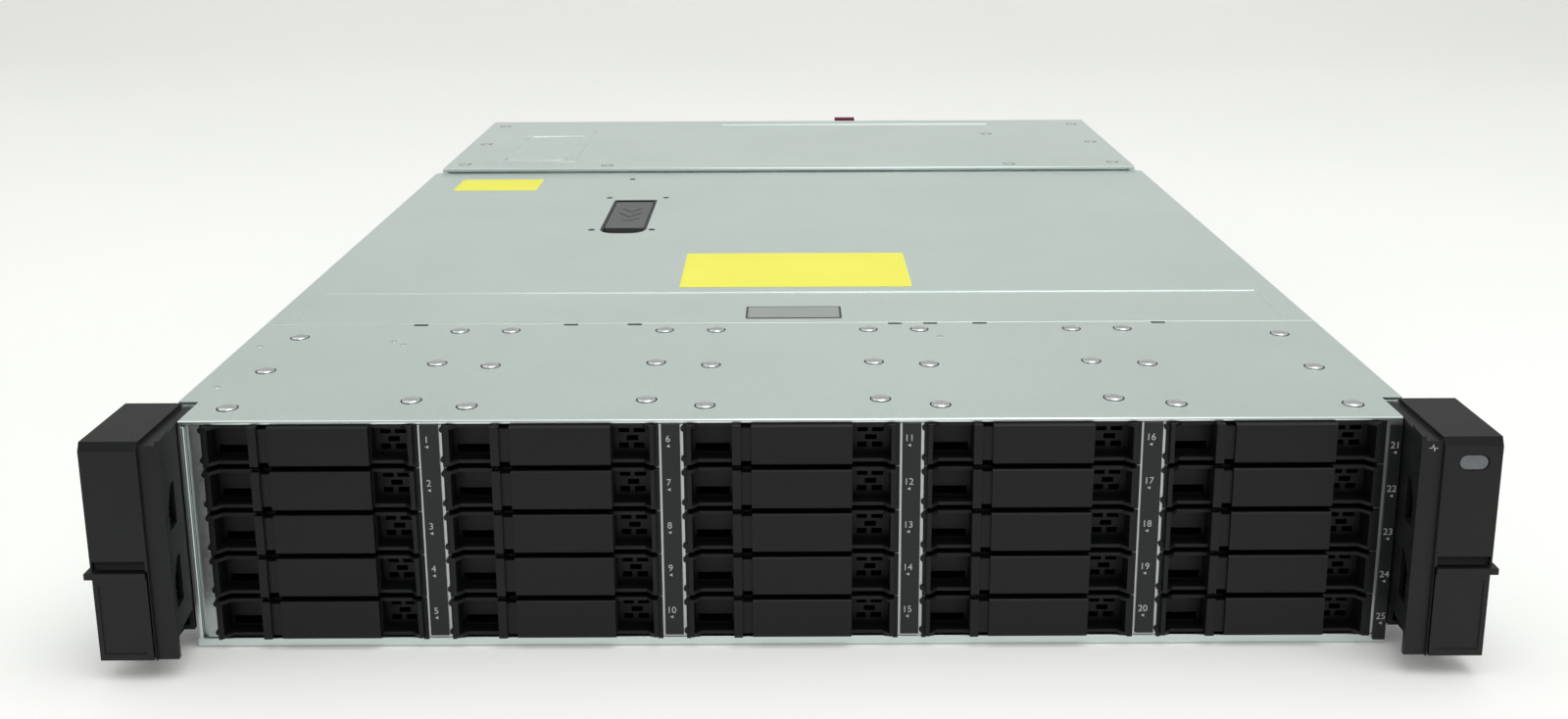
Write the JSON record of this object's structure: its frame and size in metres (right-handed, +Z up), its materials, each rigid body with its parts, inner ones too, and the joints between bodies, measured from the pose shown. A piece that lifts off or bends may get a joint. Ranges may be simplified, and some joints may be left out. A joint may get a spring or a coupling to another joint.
{
  "type": "disk shelf enclosure",
  "caption": "Two-unit rack disk shelf in bare steel with columns of drive blanks in front, moulded rack ears with fold-down levers, a latched top panel and hot-swap rear modules.",
  "frame": {"origin": "middle of the pan's underside, halfway along the sheet body's depth", "axes": "+X to the right seen from the front, +Y to the rear, +Z up; the drive bays face -Y"},
  "size_m": [0.487, 0.6506, 0.0907],
  "materials": {
    "bare_steel": "satin zinc-coated sheet",
    "screw_steel": "bright plated",
    "black_moulding": "satin black ABS, finely grained",
    "dark_moulding": "fine grained",
    "label_black": "smooth film",
    "circuit_board": "lacquered",
    "module_case": "satin sheet",
    "release_red": "satin",
    "lamp_lens": "frosted clear"
  },
  "bodies": {
    "chassis": {"base_pan": "bare_steel", "front_cover": "bare_steel", "rear_cover": "bare_steel", "cage_walls": "bare_steel", "bay_label_strips": "label_black", "midplane_board": "circuit_board", "drive_connectors": "dark_moulding", "module_backplane": "circuit_board", "module_sockets": "dark_moulding", "bridge_board": "circuit_board", "rear_module_frame": "bare_steel", "ear_brackets": "bare_steel", "left_ear_shell": "black_moulding", "right_ear_shell": "black_moulding"},
    "access_panel": {"access_panel": "bare_steel", "latch_cup": "dark_moulding"},
    "latch_handle": {"latch_handle": "dark_moulding"},
    "left_ear_lever": {"left_ear_lever": "black_moulding"},
    "right_ear_lever": {"right_ear_lever": "black_moulding"},
    "left_rack_screw": {"left_rack_screw": "screw_steel"},
    "right_rack_screw": {"right_rack_screw": "screw_steel"},
    "status_button": {"status_button": "lamp_lens"},
    "left_power_supply": {"left_power_supply": "module_case"},
    "right_power_supply": {"right_power_supply": "module_case"},
    "left_supply_tab": {"left_supply_tab": "release_red"},
    "right_supply_tab": {"right_supply_tab": "release_red"},
    "left_fan_frame": {"left_fan_frame": "dark_moulding"},
    "right_fan_frame": {"right_fan_frame": "dark_moulding"},
    "left_fan_rotor": {"left_fan_rotor": "dark_moulding"},
    "right_fan_rotor": {"right_fan_rotor": "dark_moulding"},
    "upper_io_module": {"upper_io_module": "module_case"},
    "lower_io_module": {"lower_io_module": "module_case"},
    "upper_io_lever": {"upper_io_lever": "release_red"},
    "lower_io_lever": {"lower_io_lever": "release_red"},
    "drive_blank_01": {"drive_blank_01": "black_moulding"},
    "drive_blank_02": {"drive_blank_02": "black_moulding"},
    "drive_blank_03": {"drive_blank_03": "black_moulding"},
    "drive_blank_04": {"drive_blank_04": "black_moulding"},
    "drive_blank_05": {"drive_blank_05": "black_moulding"},
    "drive_blank_06": {"drive_blank_06": "black_moulding"},
    "drive_blank_07": {"drive_blank_07": "black_moulding"},
    "drive_blank_08": {"drive_blank_08": "black_moulding"},
    "drive_blank_09": {"drive_blank_09": "black_moulding"},
    "drive_blank_10": {"drive_blank_10": "black_moulding"},
    "drive_blank_11": {"drive_blank_11": "black_moulding"},
    "drive_blank_12": {"drive_blank_12": "black_moulding"},
    "drive_blank_13": {"drive_blank_13": "black_moulding"},
    "drive_blank_14": {"drive_blank_14": "black_moulding"},
    "drive_blank_15": {"drive_blank_15": "black_moulding"},
    "drive_blank_16": {"drive_blank_16": "black_moulding"},
    "drive_blank_17": {"drive_blank_17": "black_moulding"},
    "drive_blank_18": {"drive_blank_18": "black_moulding"},
    "drive_blank_19": {"drive_blank_19": "black_moulding"},
    "drive_blank_20": {"drive_blank_20": "black_moulding"},
    "drive_blank_21": {"drive_blank_21": "black_moulding"},
    "drive_blank_22": {"drive_blank_22": "black_moulding"},
    "drive_blank_23": {"drive_blank_23": "black_moulding"},
    "drive_blank_24": {"drive_blank_24": "black_moulding"},
    "drive_blank_25": {"drive_blank_25": "black_moulding"}
  },
  "joints": [
    {"name": "panel_slide", "type": "slide", "parent": "chassis", "child": "access_panel", "axis": [0, 1, 0], "range_m": [0, 0.012]},
    {"name": "latch_lift", "type": "hinge", "parent": "access_panel", "child": "latch_handle", "pos_m": [-0.0891, 0.043, 0.0844], "axis": [-1, 0, 0], "range_deg": [0, 70]},
    {"name": "left_ear_lever_fold", "type": "hinge", "parent": "chassis", "child": "left_ear_lever", "pos_m": [-0.2316, -0.3167, 0.0131], "axis": [1, 0, 0], "range_deg": [0, 80]},
    {"name": "left_rack_screw_turn", "type": "hinge", "parent": "chassis", "child": "left_rack_screw", "pos_m": [-0.23255, -0.2847, 0.022], "axis": [0, 1, 0], "continuous": true},
    {"name": "right_ear_lever_fold", "type": "hinge", "parent": "chassis", "child": "right_ear_lever", "pos_m": [0.2316, -0.3167, 0.0131], "axis": [1, 0, 0], "range_deg": [0, 80]},
    {"name": "right_rack_screw_turn", "type": "hinge", "parent": "chassis", "child": "right_rack_screw", "pos_m": [0.23255, -0.2847, 0.022], "axis": [0, 1, 0], "continuous": true},
    {"name": "status_button_press", "type": "slide", "parent": "chassis", "child": "status_button", "axis": [0, 1, 0], "range_m": [0, 0.0008], "stiffness_N_per_m": 400},
    {"name": "left_power_supply_slide", "type": "slide", "parent": "chassis", "child": "left_power_supply", "axis": [0, 1, 0], "range_m": [0, 0.2]},
    {"name": "left_supply_tab_press", "type": "hinge", "parent": "left_power_supply", "child": "left_supply_tab", "pos_m": [-0.1853, 0.303, 0.0354], "axis": [0, 0, 1], "range_deg": [0, 6], "stiffness_Nm_per_rad": 0.5},
    {"name": "left_fan_slide", "type": "slide", "parent": "chassis", "child": "left_fan_frame", "axis": [0, 1, 0], "range_m": [0, 0.09]},
    {"name": "left_fan_spin", "type": "hinge", "parent": "left_fan_frame", "child": "left_fan_rotor", "pos_m": [-0.1373, 0.279, 0.043], "axis": [0, 1, 0], "continuous": true},
    {"name": "right_power_supply_slide", "type": "slide", "parent": "chassis", "child": "right_power_supply", "axis": [0, 1, 0], "range_m": [0, 0.2]},
    {"name": "right_supply_tab_press", "type": "hinge", "parent": "right_power_supply", "child": "right_supply_tab", "pos_m": [0.2165, 0.303, 0.0354], "axis": [0, 0, 1], "range_deg": [0, 6], "stiffness_Nm_per_rad": 0.5},
    {"name": "right_fan_slide", "type": "slide", "parent": "chassis", "child": "right_fan_frame", "axis": [0, 1, 0], "range_m": [0, 0.09]},
    {"name": "right_fan_spin", "type": "hinge", "parent": "right_fan_frame", "child": "right_fan_rotor", "pos_m": [0.1373, 0.279, 0.043], "axis": [0, 1, 0], "continuous": true},
    {"name": "upper_io_slide", "type": "slide", "parent": "chassis", "child": "upper_io_module", "axis": [0, 1, 0], "range_m": [0, 0.215]},
    {"name": "upper_io_lever_swing", "type": "hinge", "parent": "upper_io_module", "child": "upper_io_lever", "pos_m": [0.0855, 0.304, 0.069], "axis": [0, 0, -1], "range_deg": [0, 55]},
    {"name": "lower_io_slide", "type": "slide", "parent": "chassis", "child": "lower_io_module", "axis": [0, 1, 0], "range_m": [0, 0.215]},
    {"name": "lower_io_lever_swing", "type": "hinge", "parent": "lower_io_module", "child": "lower_io_lever", "pos_m": [0.0855, 0.304, 0.0276], "axis": [0, 0, -1], "range_deg": [0, 55]},
    {"name": "drive_blank_01_slide", "type": "slide", "parent": "chassis", "child": "drive_blank_01", "axis": [0, -1, 0], "range_m": [0, 0.07]},
    {"name": "drive_blank_02_slide", "type": "slide", "parent": "chassis", "child": "drive_blank_02", "axis": [0, -1, 0], "range_m": [0, 0.07]},
    {"name": "drive_blank_03_slide", "type": "slide", "parent": "chassis", "child": "drive_blank_03", "axis": [0, -1, 0], "range_m": [0, 0.07]},
    {"name": "drive_blank_04_slide", "type": "slide", "parent": "chassis", "child": "drive_blank_04", "axis": [0, -1, 0], "range_m": [0, 0.07]},
    {"name": "drive_blank_05_slide", "type": "slide", "parent": "chassis", "child": "drive_blank_05", "axis": [0, -1, 0], "range_m": [0, 0.07]},
    {"name": "drive_blank_06_slide", "type": "slide", "parent": "chassis", "child": "drive_blank_06", "axis": [0, -1, 0], "range_m": [0, 0.07]},
    {"name": "drive_blank_07_slide", "type": "slide", "parent": "chassis", "child": "drive_blank_07", "axis": [0, -1, 0], "range_m": [0, 0.07]},
    {"name": "drive_blank_08_slide", "type": "slide", "parent": "chassis", "child": "drive_blank_08", "axis": [0, -1, 0], "range_m": [0, 0.07]},
    {"name": "drive_blank_09_slide", "type": "slide", "parent": "chassis", "child": "drive_blank_09", "axis": [0, -1, 0], "range_m": [0, 0.07]},
    {"name": "drive_blank_10_slide", "type": "slide", "parent": "chassis", "child": "drive_blank_10", "axis": [0, -1, 0], "range_m": [0, 0.07]},
    {"name": "drive_blank_11_slide", "type": "slide", "parent": "chassis", "child": "drive_blank_11", "axis": [0, -1, 0], "range_m": [0, 0.07]},
    {"name": "drive_blank_12_slide", "type": "slide", "parent": "chassis", "child": "drive_blank_12", "axis": [0, -1, 0], "range_m": [0, 0.07]},
    {"name": "drive_blank_13_slide", "type": "slide", "parent": "chassis", "child": "drive_blank_13", "axis": [0, -1, 0], "range_m": [0, 0.07]},
    {"name": "drive_blank_14_slide", "type": "slide", "parent": "chassis", "child": "drive_blank_14", "axis": [0, -1, 0], "range_m": [0, 0.07]},
    {"name": "drive_blank_15_slide", "type": "slide", "parent": "chassis", "child": "drive_blank_15", "axis": [0, -1, 0], "range_m": [0, 0.07]},
    {"name": "drive_blank_16_slide", "type": "slide", "parent": "chassis", "child": "drive_blank_16", "axis": [0, -1, 0], "range_m": [0, 0.07]},
    {"name": "drive_blank_17_slide", "type": "slide", "parent": "chassis", "child": "drive_blank_17", "axis": [0, -1, 0], "range_m": [0, 0.07]},
    {"name": "drive_blank_18_slide", "type": "slide", "parent": "chassis", "child": "drive_blank_18", "axis": [0, -1, 0], "range_m": [0, 0.07]},
    {"name": "drive_blank_19_slide", "type": "slide", "parent": "chassis", "child": "drive_blank_19", "axis": [0, -1, 0], "range_m": [0, 0.07]},
    {"name": "drive_blank_20_slide", "type": "slide", "parent": "chassis", "child": "drive_blank_20", "axis": [0, -1, 0], "range_m": [0, 0.07]},
    {"name": "drive_blank_21_slide", "type": "slide", "parent": "chassis", "child": "drive_blank_21", "axis": [0, -1, 0], "range_m": [0, 0.07]},
    {"name": "drive_blank_22_slide", "type": "slide", "parent": "chassis", "child": "drive_blank_22", "axis": [0, -1, 0], "range_m": [0, 0.07]},
    {"name": "drive_blank_23_slide", "type": "slide", "parent": "chassis", "child": "drive_blank_23", "axis": [0, -1, 0], "range_m": [0, 0.07]},
    {"name": "drive_blank_24_slide", "type": "slide", "parent": "chassis", "child": "drive_blank_24", "axis": [0, -1, 0], "range_m": [0, 0.07]},
    {"name": "drive_blank_25_slide", "type": "slide", "parent": "chassis", "child": "drive_blank_25", "axis": [0, -1, 0], "range_m": [0, 0.07]}
  ],
  "couplings": [
    {"joint": "latch_lift", "follows": "panel_slide", "rad_per_m": 101.8}
  ]
}
